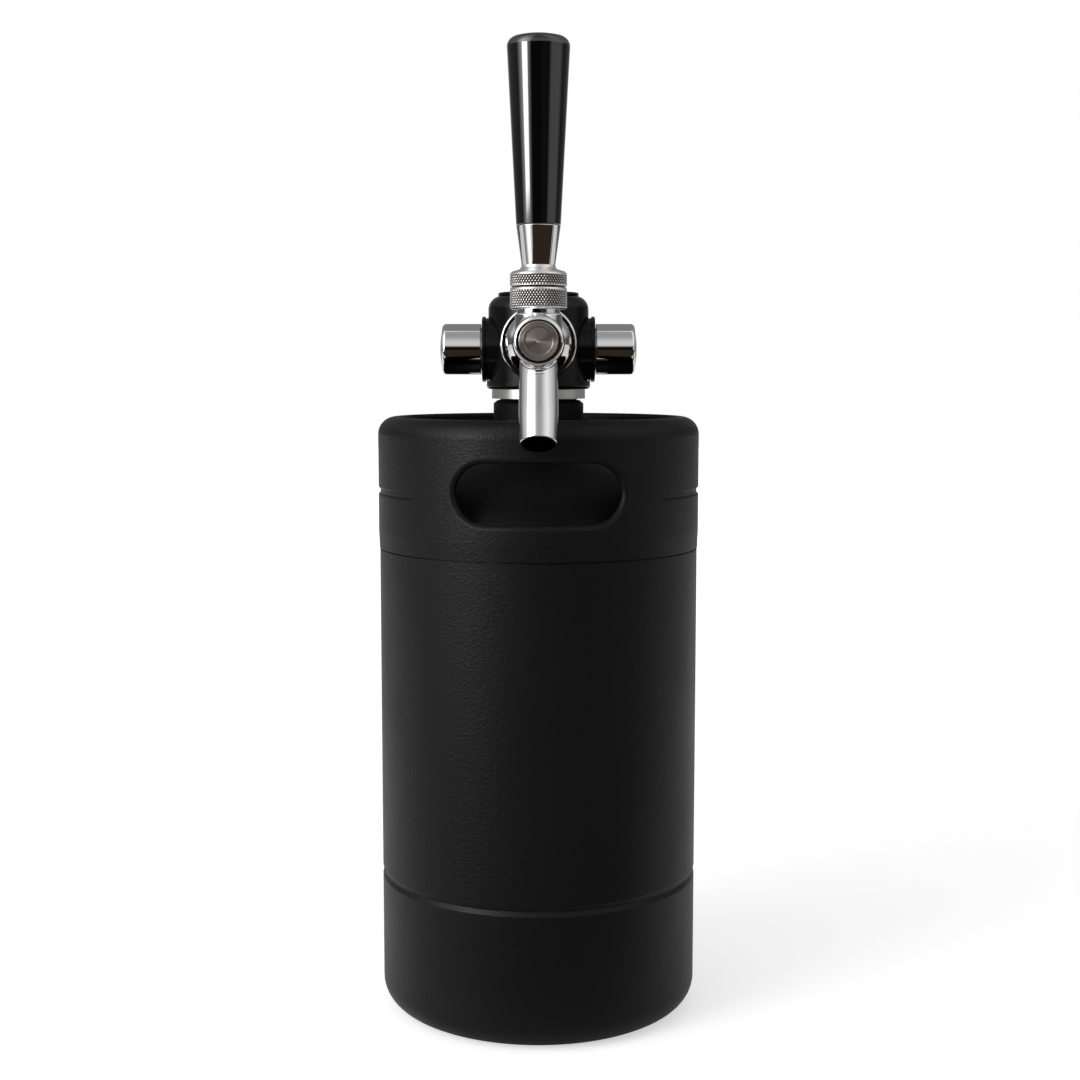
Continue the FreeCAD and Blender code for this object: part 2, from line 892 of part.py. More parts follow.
def valve_guide(name, side):
    """Screwed-in guide that holds the spring and the stem."""
    inner = s.fitting_end - s.guide_thick
    bore = s.pin_stem + s.slide_fit
    return side_piece(name, [
        (bore, inner), (s.valve_bore + 1, inner), (s.valve_bore + 1, s.fitting_end),
        (bore, s.fitting_end),
    ], side)


def cap_outline(inner_wall, roof):
    """A cap's skirt and end, with a rounded edge and a slight crown."""
    open_end = s.collar_face + s.cap_gap
    crown = s.cap_end - s.cap_dome
    across = s.cap_radius - s.cap_round
    bulge = (across * across + s.cap_dome * s.cap_dome) / (s.cap_dome * 2)
    return [
        (0, roof), (inner_wall, roof), (inner_wall, open_end),
        (s.cap_radius, open_end, 0.4), (s.cap_radius, crown, s.cap_round * 0.8),
        (across, crown), Arc(bulge), (0, s.cap_end),
    ]


def inlet_cap():
    """Screw-on cap over the gas inlet."""
    seal_top = s.fitting_end + s.gasket_squeeze * 2 + s.cap_seal_thick
    return side_piece("inlet_cap", cap_outline(s.fitting_neck + s.screw_fit, seal_top), "left")


def inlet_cap_seal():
    """Flat seal in the cap's roof, on the fitting's end."""
    low = s.fitting_end + s.gasket_squeeze
    outer = s.fitting_neck - s.body_gap
    return side_piece("inlet_cap_seal", [
        (s.cap_seal_bore, low), (outer, low), (outer, low + s.cap_seal_thick),
        (s.cap_seal_bore, low + s.cap_seal_thick),
    ], "left")


def inlet_head():
    """Distance at which the check pin's head starts, against the guide."""
    return s.fitting_end - s.guide_thick - s.gasket_squeeze - s.pin_head_thick


def inlet_pin():
    """Check pin: its head closes the guide from inside, its stem is pushed in to open it."""
    head = inlet_head()
    stem_end = s.fitting_end - s.gasket_squeeze
    return side_piece("inlet_pin", [
        (0, head), (s.pin_head, head), (s.pin_head, head + s.pin_head_thick),
        (s.pin_stem, head + s.pin_head_thick), (s.pin_stem, stem_end, 0.5), (0, stem_end),
    ], "left")


def coil(name, side, start, end):
    """Compression spring between two heights, with one wire radius left at each end."""
    body = doc.addObject("PartDesign::Body", name)
    sketch = new_sketch(body, name + "_wire")
    first = start + s.spring_wire
    wire = Part.Circle(FreeCAD.Vector(s.spring_radius.value, first.value, 0),
                       FreeCAD.Vector(0, 0, 1), s.spring_wire.value)
    sketch.addGeometry(wire, False)
    for kind, length in (("DistanceX", s.spring_radius), ("DistanceY", first)):
        made = sketch.addConstraint(Sketcher.Constraint(kind, -1, 1, 0, 3, length.value))
        bind(sketch, f"Constraints[{made}]", length)
    made = sketch.addConstraint(Sketcher.Constraint("Radius", 0, s.spring_wire.value))
    bind(sketch, f"Constraints[{made}]", s.spring_wire)
    helix = body.newObject("PartDesign::AdditiveHelix", name + "_coil")
    helix.Profile = sketch
    helix.ReferenceAxis = (sketch, ["V_Axis"])
    helix.Mode = "height-turns-angle"
    height = end - start - s.spring_wire * 2
    helix.Height = height.value
    helix.Turns = s.spring_turns.value
    helix.Angle = 0
    bind(helix, "Height", height)
    bind(helix, "Turns", s.spring_turns)
    return place(body, (0, 0, s.port_z), side)


def inlet_spring():
    return coil("inlet_spring", "left", s.fitting_root + s.valve_floor, inlet_head())


def relief_cap():
    """Pull knob of the relief valve, a sliding fit on the fitting's nose."""
    return side_piece("relief_cap",
                      cap_outline(s.fitting_neck + s.slide_fit, s.cap_end - s.cap_roof), "right")


def relief_stem():
    """Poppet and stem: the stem runs out through the guide into the knob."""
    seat = s.fitting_root + s.valve_floor + s.poppet_seal_thick + s.gasket_squeeze
    return side_piece("relief_stem", [
        (0, seat), (s.poppet_radius, seat), (s.poppet_radius, seat + s.poppet_thick),
        (s.pin_stem, seat + s.poppet_thick), (s.pin_stem, s.cap_end - s.cap_roof),
        (0, s.cap_end - s.cap_roof),
    ], "right")


def relief_seal():
    """Rubber face of the poppet on the seat."""
    seat = s.fitting_root + s.valve_floor + s.gasket_squeeze
    return side_piece("relief_seal", [
        (0, seat), (s.poppet_radius, seat), (s.poppet_radius, seat + s.poppet_seal_thick),
        (0, seat + s.poppet_seal_thick),
    ], "right")


def relief_spring():
    seat = s.fitting_root + s.valve_floor + s.gasket_squeeze
    poppet = seat + s.poppet_seal_thick + s.poppet_thick
    return coil("relief_spring", "right", poppet, s.fitting_end - s.guide_thick)


# Tap, drawn forwards from the keg's axis

def tap_piece(name, outline):
    return turned(name, outline, (0, 0, s.tap_z), "front")


def tap_shank():
    """Threaded tube from the core to the faucet, with a nose collar for the nut."""
    nose = s.shank_end - s.nut_wall
    return tap_piece("tap_shank", [
        (s.liquid_bore, s.shank_root), (s.shank_radius, s.shank_root), (s.shank_radius, nose),
        (s.collar_nose, nose), (s.collar_nose, s.shank_end), (s.liquid_bore, s.shank_end),
    ])


def shank_flange():
    """Bright ring that clamps the housing's boss, dished in front."""
    edge = s.flange_disc_round
    return tap_piece("shank_flange", [
        (s.shank_radius, s.boss_front), (s.flange_disc_radius, s.boss_front),
        (s.flange_disc_radius, s.flange_disc_front, edge), (s.flange_disc_dish, s.flange_disc_front),
        (s.flange_disc_dish, s.flange_disc_front - edge), (s.shank_radius, s.flange_disc_front - edge),
    ])


def coupling_nut():
    """Domed nut that draws the faucet onto the shank's nose."""
    nose = s.shank_end - s.nut_wall
    thread = s.faucet_thread + s.screw_fit
    front = s.faucet_thread + 1
    return tap_piece("coupling_nut", [
        (s.shank_radius, s.nut_back), (s.nut_radius, s.nut_back, 0.8),
        (s.nut_radius, s.nut_front - s.nut_dome), Arc(s.nut_dome * 1.4),
        (front, s.nut_front), (thread, s.nut_front), (thread, nose), (s.shank_radius, nose),
    ])


def shank_washer():
    seal = s.shank_end + s.shank_seal_thick
    return tap_piece("shank_washer", [
        (s.liquid_bore + 1.5, s.shank_end), (s.collar_nose, s.shank_end),
        (s.collar_nose, seal), (s.liquid_bore + 1.5, seal),
    ])


def faucet_body():
    """Cast body: a barrel with a rounded nose, a column for the lever and a leaning spout."""
    rear = s.shank_end + s.shank_seal_thick
    nose = barrel_nose()
    barrel = tap_piece("faucet_barrel", [
        (0, rear), (s.faucet_thread, rear), (s.barrel_radius, nose, s.barrel_radius - s.barrel_face),
        (0, nose),
    ])
    column = turned("faucet_column", [
        (0, s.tap_z), (s.column_radius, s.tap_z),
        (s.column_radius, s.column_top_z, s.column_round), (s.column_relief, s.column_top_z),
        (s.column_relief, s.bonnet_bottom_z), (s.column_thread, s.bonnet_bottom_z),
        (s.column_thread, s.column_rim_z), (0, s.column_rim_z),
    ], (0, -s.lever_y, 0))
    length = (s.tap_z - s.spout_tip_z) / cosine(s.spout_lean)
    start_y = s.spout_tip_y - length * sine(s.spout_lean)
    spout = turned("faucet_spout", [
        (0, 0), (s.spout_root, 0), (s.spout_radius, length - s.spout_taper, s.spout_swell),
        (s.spout_tip_radius, length, 0.4), (0, length),
    ], (0, -start_y, s.tap_z), "down")
    lean(spout, s.spout_lean)
    solid = fuse("faucet_casting", [barrel, column, spout])

    def on_blend(edge):
        middle = edge.CenterOfMass
        flat = edge.Curve.TypeId in ("Part::GeomLine", "Part::GeomCircle")
        return not flat and middle.z < s.column_top_z.value - s.column_round.value

    blended = fillet("faucet_blended", solid, s.blend_round, on_blend)
    seat_front = s.seat_y + s.seat_land
    plug_floor = nose - s.plug_depth
    bore = tap_piece("faucet_barrel_bore", [
        (0, rear - 1), (s.rear_bore, rear - 1), (s.rear_bore, s.seat_y), (s.seat_bore, s.seat_y),
        (s.seat_bore, seat_front), (s.barrel_bore, seat_front + s.seat_land),
        (s.barrel_bore, plug_floor), (s.plug_radius, plug_floor), (s.plug_radius, nose + 1),
        (0, nose + 1),
    ])
    ledge = s.pivot_z - s.seal_drop
    well = turned("faucet_column_bore", [
        (0, s.tap_z), (s.barrel_bore, s.tap_z), (s.barrel_bore, ledge), (s.column_bore, ledge),
        (s.column_bore, s.column_rim_z + 1), (0, s.column_rim_z + 1),
    ], (0, -s.lever_y, 0))
    throat_end = length - s.spout_bore_depth
    outlet = turned("faucet_spout_bore", [
        (0, 0), (s.spout_throat, 0), (s.spout_throat, throat_end), (s.spout_bore, throat_end),
        (s.spout_bore, length + 1), (0, length + 1),
    ], (0, -start_y, s.tap_z), "down")
    lean(outlet, s.spout_lean)
    return cut("faucet_body", blended, [bore, well, outlet])


def front_plug():
    """Turned plug in the barrel's nose, with a groove round its middle disc."""
    back = barrel_nose() - s.plug_depth + s.plug_seal_thick
    face = barrel_nose() + 0.2
    dip = face - s.plug_groove_depth
    return tap_piece("front_plug", [
        (0, back), (s.plug_radius, back), (s.plug_radius, face, 0.3), (s.plug_groove, face),
        (s.plug_disc + 0.2, dip), (s.plug_disc, dip), (0, dip + 0.25),
    ])


def front_plug_seal():
    low = barrel_nose() - s.plug_depth
    return tap_piece("front_plug_seal", [
        (s.shaft_radius + 2, low), (s.plug_radius, low), (s.plug_radius, low + s.plug_seal_thick),
        (s.shaft_radius + 2, low + s.plug_seal_thick),
    ])


# Valve shaft: closed at rest, with its washer drawn forwards onto the seat

def washer_front():
    return s.seat_y - s.gasket_squeeze


def valve_shaft():
    """Shaft with a fluted guide, a block whose slot flares for the lever, and a threaded tail."""
    step = washer_front()
    tail = step - s.washer_thick - s.shaft_nut_thick
    guide = s.barrel_bore - s.slide_fit
    back_of_guide = s.shaft_head - s.guide_length
    half = s.block_length / 2
    bar = tap_piece("shaft_bar", [
        (0, tail), (s.shaft_thread, tail), (s.shaft_thread, step), (s.shaft_radius, step),
        (s.shaft_radius, s.lever_y - half), (s.block_radius, s.lever_y - half),
        (s.block_radius, s.lever_y + half), (s.shaft_radius, s.lever_y + half),
        (s.shaft_radius, back_of_guide), (guide, back_of_guide), (guide, s.shaft_head),
        (0, s.shaft_head),
    ])
    middle = -s.lever_y
    waist = s.finger_tip + s.slot_play
    rise = s.block_radius + 1
    flare = waist + rise * tilt_slope()
    slot = prism("shaft_slot", [
        (middle - flare, s.tap_z - rise), (middle + flare, s.tap_z - rise),
        (middle + waist, s.tap_z), (middle + flare, s.tap_z + rise),
        (middle - flare, s.tap_z + rise), (middle - waist, s.tap_z),
    ], (s.finger_root + s.slide_fit) * 2, "YZ_Plane")
    flutes = []
    for number, angle in enumerate((0, 60, 120)):
        flute = tap_box("shaft_flute_" + str(number), guide * 3, s.shaft_radius * 0.9,
                        back_of_guide, s.shaft_head, angle)
        flutes.append(flute)
    lobes = ring("shaft_lobe_band", s.shaft_radius + 1, guide + 1, back_of_guide - 1,
                 s.shaft_head + 1, (0, 0, s.tap_z), "front")
    channels = common("shaft_channels", fuse("shaft_flutes", flutes), lobes)
    return cut("valve_shaft", bar, [slot, channels])


def tap_box(name, width, height, back, front, angle):
    """A bar across the tap's axis, turned about it."""
    body = doc.addObject("PartDesign::Body", name)
    sketch = new_sketch(body, name + "_outline", "XY_Plane")
    half = width / 2
    thick = height / 2
    draw(sketch, [(-half, -thick), (half, -thick), (half, thick), (-half, thick)])
    pad = body.newObject("PartDesign::Pad", name + "_pad")
    pad.Profile = sketch
    length = front - back + 2
    pad.Length = length.value
    bind(pad, "Length", length)
    turn = FreeCAD.Rotation(FreeCAD.Vector(0, 0, 1), angle)
    place(body, (0, size(1) - back, s.tap_z), "front")
    body.Placement = FreeCAD.Placement(body.Placement.Base, FACING["front"].multiply(turn))
    return body


def seat_washer():
    front = washer_front()
    return tap_piece("seat_washer", [
        (s.shaft_thread, front - s.washer_thick), (s.washer_radius, front - s.washer_thick),
        (s.washer_radius, front, 0.5), (s.shaft_thread, front),
    ])


def shaft_nut():
    front = washer_front() - s.washer_thick
    return tap_piece("shaft_nut", [
        (s.shaft_thread, front - s.shaft_nut_thick),
        (s.shaft_nut_radius, front - s.shaft_nut_thick, 0.5), (s.shaft_nut_radius, front),
        (s.shaft_thread, front),
    ])


# Lever and its seals, about the pivot at the middle of the ball

def lever_piece(name, outline):
    return turned(name, outline, (0, -s.lever_y, 0))


def tilt_slope():
    return sine(s.handle_tilt) / cosine(s.handle_tilt)


def swing(radius, height):
    """Half width that a leaning rod sweeps at a height from the pivot."""
    return height * tilt_slope() + radius / cosine(s.handle_tilt)


def tap_lever():
    """Lever: a ball, a stem with a thread for the handle and a finger into the shaft."""
    z = s.pivot_z
    top_join = circle_height(s.ball_radius, s.stem_radius)
    low_join = circle_height(s.ball_radius, s.finger_root)
    tip = s.finger_tip
    tip_join = tip * 0.6
    return lever_piece("tap_lever", [
        (0, s.tap_z - tip), Arc(tip), (tip, s.tap_z),
        (s.finger_root, s.tap_z + tip_join), (s.finger_root, z - low_join),
        Arc(s.ball_radius), (s.ball_radius, z), Arc(s.ball_radius),
        (s.stem_radius, z + top_join), (s.stem_radius, collar_roof()),
        (s.lever_thread, collar_roof()), (s.lever_thread, s.lever_top_z, 0.8),
        (0, s.lever_top_z),
    ])


def collar_sphere():
    return s.bonnet_sphere + s.collar_gap


def collar_roof():
    """Height of the collar's underside where the stem passes."""
    return s.pivot_z + circle_height(collar_sphere(), s.lever_thread)


def lever_seal():
    """Rubber ring under the ball, on the column's ledge."""
    ball = s.ball_radius + s.ball_fit
    low = s.pivot_z - s.seal_drop
    cone = s.seal_drop - s.seal_cone
    top = s.pivot_z - s.washer_split
    foot = circle_height(ball, cone)
    return lever_piece("lever_seal", [
        (foot, low), (s.column_bore, low), (s.column_bore, top),
        (circle_height(ball, s.washer_split), top), Arc(ball, True),
        (foot, s.pivot_z - cone),
    ])


def ball_washer():
    """Friction ring over the ball, pressed down by the bonnet."""
    ball = s.ball_radius + s.ball_fit
    low = s.pivot_z - s.washer_split
    top = s.pivot_z + s.ball_washer_rise
    sphere = s.ball_washer_sphere
    return lever_piece("ball_washer", [
        (circle_height(ball, s.washer_split), low), (s.column_bore, low), (s.column_bore, top),
        (swing(s.stem_radius, s.ball_washer_rise) + s.swing_gap, top),
        (circle_height(ball, sphere), s.pivot_z + sphere), Arc(ball, True),
        (ball, s.pivot_z), Arc(ball, True),
    ])


def faucet_bonnet():
    """Lower knurled ring: screws on the column, with a domed top about the pivot."""
    z = s.pivot_z
    ceiling = z + s.ball_washer_rise
    thread = s.column_thread + s.screw_fit
    slope = tilt_slope()
    start = s.stem_radius / cosine(s.handle_tilt) + s.swing_gap
    dome = s.bonnet_sphere
    square = size(1) + slope * slope
    reach = (root(dome * dome * square - start * start) - slope * start) / square
    rim = z + circle_height(dome, s.bonnet_radius)
    bevel = s.bonnet_bevel
    return lever_piece("faucet_bonnet", [
        (thread, s.bonnet_bottom_z), (s.bonnet_radius - bevel, s.bonnet_bottom_z),
        (s.bonnet_radius, s.bonnet_bottom_z + bevel), (s.bonnet_radius, rim), Arc(dome),
        (reach * slope + start, z + reach),
        (swing(s.stem_radius, s.ball_washer_rise) + s.swing_gap, ceiling), (thread, ceiling),
    ])


def lever_collar():
    """Upper knurled ring: hollow about the pivot below, flared neck up to the ferrule."""
    sphere = collar_sphere()
    rim = s.pivot_z + circle_height(sphere, s.bonnet_radius)
    neck = s.ferrule_radius
    return lever_piece("lever_collar", [
        (s.lever_thread, collar_roof()), Arc(sphere, True), (s.bonnet_radius, rim),
        (s.bonnet_radius, s.knurl_top_z), (s.collar_shoulder, s.collar_shoulder_z),
        (s.collar_cone, s.collar_cone_z), Arc(s.collar_neck_round, True), (neck, s.collar_neck_z),
        (s.lever_thread, s.collar_neck_z),
    ])


def handle_ferrule():
    """Chrome cone between collar and grip."""
    return lever_piece("handle_ferrule", [
        (s.lever_thread, s.collar_neck_z), (s.ferrule_radius, s.collar_neck_z),
        (s.ferrule_top, s.ferrule_top_z, 0.3), (s.lever_thread, s.ferrule_top_z),
    ])


def grip_insert():
    """Threaded insert moulded into the grip's foot."""
    low = s.ferrule_top_z
    top = low + s.insert_height
    return lever_piece("grip_insert", [
        (s.lever_thread, low), (s.insert_radius + s.insert_flange, low),
        (s.insert_radius + s.insert_flange, low + s.insert_flange),
        (s.insert_radius, low + s.insert_flange), (s.insert_radius, top), (0, top),
        (0, s.lever_top_z), (s.lever_thread, s.lever_top_z),
    ])


def handle_grip():
    """Tapered grip with a crowned top and a hole for its insert."""
    low = s.ferrule_top_z
    top = low + s.insert_height
    shoulder = s.grip_head - s.grip_round * 0.55
    crown_drop = s.grip_crown - circle_height(s.grip_crown, shoulder)
    edge = s.grip_top_z - crown_drop
    return lever_piece("handle_grip", [
        (0, top), (s.insert_radius, top), (s.insert_radius, low + s.insert_flange),
        (s.insert_radius + s.insert_flange, low + s.insert_flange),
        (s.insert_radius + s.insert_flange, low), (s.grip_foot, low, s.grip_foot_round),
        (s.grip_head, s.grip_top_z - s.grip_crown_height), Arc(s.grip_round), (shoulder, edge),
        Arc(s.grip_crown), (0, s.grip_top_z),
    ])


def build():
    """Makes every piece of the dispenser."""
    for make in (keg_body, keg_dome, top_chime, keg_neck):
        piece(make())
    piece(ring("head_gasket", s.neck_bore, s.neck_thread_radius, gasket_bottom(), gasket_top()))
    for make in (head_core, dip_tube, dip_tube_nut, dip_tube_seal, head_housing, head_lid):
        piece(make())
    for side in ("left", "right"):
        piece(port_collar(side))
    for name, side in (("inlet", "left"), ("relief", "right")):
        piece(port_fitting(name + "_fitting", side))
        piece(port_seal(name + "_fitting_seal", side))
        piece(valve_guide(name + "_guide", side))
    for make in (inlet_cap, inlet_cap_seal, inlet_pin, inlet_spring):
        piece(make())
    for make in (relief_cap, relief_stem, relief_seal, relief_spring):
        piece(make())
    for make in (tap_shank, shank_flange, coupling_nut, shank_washer, faucet_body, front_plug,
                 front_plug_seal, valve_shaft, seat_washer, shaft_nut):
        piece(make())
    for make in (tap_lever, lever_seal, ball_washer, faucet_bonnet, lever_collar,
                 handle_ferrule, grip_insert, handle_grip):
        piece(make())


def check():
    """Stops if anything failed to build."""
    doc.recompute()
    failed = [item for item in doc.Objects if "Invalid" in item.State or "Error" in item.State]
    failed += [item for item in pieces if item.Shape.isNull() or not item.Shape.isValid()]
    if failed:
        raise RuntimeError("; ".join(item.Name + " " + item.getStatusString() for item in failed))


def write():
    """Writes each piece to its own file."""
    os.makedirs("parts", exist_ok=True)
    for item in pieces:
        item.Shape.exportStep(os.path.join("parts", item.Label + ".step"))


build()
check()
write()
print(len(pieces), "pieces")
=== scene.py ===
import math

import bmesh
import bpy
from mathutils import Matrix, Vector


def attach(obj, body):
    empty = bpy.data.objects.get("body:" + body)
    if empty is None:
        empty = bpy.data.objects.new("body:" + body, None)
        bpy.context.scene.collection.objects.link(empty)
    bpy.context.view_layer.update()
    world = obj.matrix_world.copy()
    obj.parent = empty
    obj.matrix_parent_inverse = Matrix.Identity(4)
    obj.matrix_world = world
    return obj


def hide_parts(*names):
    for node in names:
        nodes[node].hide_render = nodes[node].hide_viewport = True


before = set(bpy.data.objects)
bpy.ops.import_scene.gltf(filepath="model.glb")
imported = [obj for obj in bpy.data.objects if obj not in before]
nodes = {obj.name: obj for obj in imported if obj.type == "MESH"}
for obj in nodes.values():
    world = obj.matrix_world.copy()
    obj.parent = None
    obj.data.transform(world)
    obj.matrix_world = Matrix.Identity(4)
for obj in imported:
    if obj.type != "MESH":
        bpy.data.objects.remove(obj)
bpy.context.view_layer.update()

MM = 0.001

# Heights of the tap's and the ports' axes, and the lever's axis with its ball's centre
TAP_Z = 326.8
PORT_Z = 324.3
LEVER_Y = -68
PIVOT_Z = 341

# Knurled rings: their radius, the spheres between them and where they start and end
BONNET_R = 12.75
DOME = 15.7
HOLLOW = 16.4
BONNET_LOW = 341.2
COLLAR_TOP = 356.8
RINGS_GAP_LOW = 350
RINGS_GAP_HIGH = 352

# Radii between which the chime's inside turns into its outside, where the painted shade of its
# hollow ends
INSIDE = 73
OUTSIDE = 76.5

STEEL = (0.62, 0.61, 0.59)
BRASS = (0.72, 0.52, 0.24)


# Materials


class Shader:
    """A node material around a Principled BSDF, with helpers that add its nodes."""

    def __init__(self, name, color, metallic=0.0, **sockets):
        self.material = bpy.data.materials.new(name)
        self.material.use_nodes = True
        self.tree = self.material.node_tree
        self.bsdf = self.tree.nodes["Principled BSDF"]
        self.set(self.bsdf, "Base Color", (*color, 1))
        self.set(self.bsdf, "Metallic", metallic)
        for socket, value in sockets.items():
            self.set(self.bsdf, socket.replace("_", " "), value)
        self.place = self.node("ShaderNodeTexCoord").outputs["Object"]
        self.bump = None

    def node(self, kind, **settings):
        made = self.tree.nodes.new(kind)
        for key, value in settings.items():
            setattr(made, key, value)
        return made

    def set(self, node, socket, value):
        """Gives a socket a number, a colour or a link."""
        if isinstance(value, bpy.types.NodeSocket):
            self.tree.links.new(value, node.inputs[socket])
        else:
            node.inputs[socket].default_value = value

    def math(self, operation, *values):
        made = self.node("ShaderNodeMath", operation=operation)
        for i, value in enumerate(values):
            self.set(made, i, value)
        return made.outputs[0]

    def stretched(self, x, y, z):
        """Object coordinates in units of the given lengths in millimetres."""
        mapping = self.node("ShaderNodeMapping")
        self.set(mapping, "Vector", self.place)
        self.set(mapping, "Scale", (1 / (x * MM), 1 / (y * MM), 1 / (z * MM)))
        return mapping.outputs["Vector"]

    def around(self, axis, centre, step):
        """Coordinates whose first number is the distance from an axis, in steps of millimetres."""
        split = self.node("ShaderNodeSeparateXYZ")
        self.set(split, 0, self.place)
        offsets = [self.math("SUBTRACT", split.outputs[i], centre[i] * MM) for i in range(3)]
        across = [offsets[i] for i in range(3) if i != axis]
        squares = [self.math("MULTIPLY", value, value) for value in across]
        radius = self.math("SQRT", self.math("ADD", *squares))
        joined = self.node("ShaderNodeCombineXYZ")
        self.set(joined, 0, self.math("DIVIDE", radius, step * MM))
        self.set(joined, 1, self.math("DIVIDE", offsets[axis], step * MM))
        return joined.outputs[0]

    def distance(self, y=0.0):
        """Distance in metres from an upright axis at y millimetres."""
        offset = self.node("ShaderNodeVectorMath", operation="SUBTRACT")
        self.set(offset, 0, self.place)
        self.set(offset, 1, (0, y * MM, 0))
        level = self.node("ShaderNodeVectorMath", operation="MULTIPLY")
        self.set(level, 0, offset.outputs[0])
        self.set(level, 1, (1, 1, 0))
        length = self.node("ShaderNodeVectorMath", operation="LENGTH")
        self.set(length, 0, level.outputs[0])
        return length.outputs["Value"]

    def noise(self, vector, detail=3.0, roughness=0.5, distortion=0.0):
        made = self.node("ShaderNodeTexNoise")
        self.set(made, "Vector", vector)
        self.set(made, "Scale", 1.0)
        self.set(made, "Detail", detail)
        self.set(made, "Roughness", roughness)
        self.set(made, "Distortion", distortion)
        return made.outputs["Fac"]

    def cells(self, vector):
        made = self.node("ShaderNodeTexVoronoi", feature="SMOOTH_F1")
        self.set(made, "Vector", vector)
        self.set(made, "Scale", 1.0)
        return made.outputs["Distance"]

    def ramp(self, value, low, high, start, end):
        """Maps a value between low and high to start and end."""
        made = self.node("ShaderNodeMapRange")
        for socket, number in (("Value", value), ("From Min", low), ("From Max", high),
                               ("To Min", start), ("To Max", end)):
            self.set(made, socket, number)
        return made.outputs["Result"]

    def blend(self, value, first, second):
        """A colour between two others."""
        made = self.node("ShaderNodeMix", data_type="RGBA")
        self.tree.links.new(value, made.inputs[0])
        made.inputs[6].default_value = (*first, 1)
        made.inputs[7].default_value = (*second, 1)
        return made.outputs[2]

    def relief(self, height, depth):
        """Adds a bump of the given depth in millimetres."""
        made = self.node("ShaderNodeBump")
        self.set(made, "Height", height)
        self.set(made, "Distance", depth * MM)
        self.set(made, "Strength", 1.0)
        if self.bump:
            self.set(made, "Normal", self.bump)
        self.bump = made.outputs["Normal"]
        self.set(self.bsdf, "Normal", self.bump)

    def rough(self, value, low, high):
        """Roughness that follows the middle range of a noise."""
        self.set(self.bsdf, "Roughness", self.ramp(value, 0.3, 0.7, low, high))

    def tint(self, value, first, second):
        self.set(self.bsdf, "Base Color", self.blend(value, first, second))


def powder_coat():
    """Matt black powder coat with a fine leathery wrinkle; its shine is turned down inside the
    chime as painted shade.
    """
    made = Shader("powder_coat", (0.004, 0.004, 0.0044))
    bent = made.noise(made.stretched(2.4, 2.4, 1.5), detail=2.0, distortion=0.6)
    wrinkle = made.cells(made.stretched(1.15, 1.15, 0.8))
    fine = made.noise(made.stretched(0.42, 0.42, 0.34), detail=4.0, roughness=0.6)
    broad = made.noise(made.stretched(34, 34, 60), detail=2.0)
    made.relief(bent, 0.15)
    made.relief(wrinkle, 0.09)
    made.relief(fine, 0.035)
    made.rough(broad, 0.40, 0.47)
    made.tint(fine, (0.0030, 0.0030, 0.0033), (0.0058, 0.0058, 0.0062))
    # Less shine inside the chime is painted shade in its hollow, not a duller coat.
    shine_with_painted_shade = made.ramp(made.distance(), INSIDE * MM, OUTSIDE * MM, 0.08, 0.19)
    made.set(made.bsdf, "Specular IOR Level", shine_with_painted_shade)
    return made.material


def satin_plastic():
    """Satin black of the head's housing."""
    made = Shader("housing_black", (0.004, 0.004, 0.0042), Specular_IOR_Level=0.2)
    grain = made.noise(made.stretched(0.35, 0.35, 0.35), detail=3.0)
    broad = made.noise(made.stretched(18, 18, 18), detail=3.0)
    made.relief(grain, 0.006)
    made.rough(broad, 0.15, 0.21)
    made.tint(broad, (0.0032, 0.0032, 0.0034), (0.0048, 0.0048, 0.0050))
    return made.material


def gloss_grip():
    """Gloss black lacquer with a faint waviness."""
    made = Shader("grip_black", (0.002, 0.002, 0.0022), IOR=1.55, Coat_Weight=1.0,
                  Coat_Roughness=0.02)
    broad = made.noise(made.stretched(14, 14, 30), detail=2.0)
    peel = made.noise(made.stretched(3.4, 3.4, 3.4), detail=1.0)
    made.relief(peel, 0.004)
    made.rough(broad, 0.04, 0.08)
    made.tint(broad, (0.0015, 0.0015, 0.0017), (0.0025, 0.0025, 0.0027))
    return made.material


def chrome():
    """Polished chrome plate with a barely wavy surface."""
    color = (0.86, 0.86, 0.87)
    made = Shader("chrome", color, metallic=1.0)
    broad = made.noise(made.stretched(9, 9, 9), detail=4.0)
    peel = made.noise(made.stretched(2.6, 2.6, 2.6), detail=2.0)
    made.relief(peel, 0.0016)
    made.rough(broad, 0.02, 0.05)
    made.tint(broad, tuple(0.96 * c for c in color), color)
    return made.material


def turned_metal(name, color, axis, centre, low, high, step=0.09, anisotropy=0.0):
    """Lathe-turned metal with fine lines round its axis."""
    made = Shader(name, color, metallic=1.0, Anisotropic=anisotropy)
    lines = made.noise(made.around(axis, centre, step), detail=3.0, roughness=0.65)
    broad = made.noise(made.stretched(7, 7, 7), detail=3.0)
    made.relief(lines, 0.006)
    made.rough(lines, low, high)
    made.tint(broad, tuple(0.88 * c for c in color), color)
    if anisotropy:
        made.set(made.bsdf, "Anisotropic Rotation", 0.25)
        tangent = made.node("ShaderNodeTangent", direction_type="RADIAL", axis="XYZ"[axis])
        made.set(made.bsdf, "Tangent", tangent.outputs[0])
    return made.material


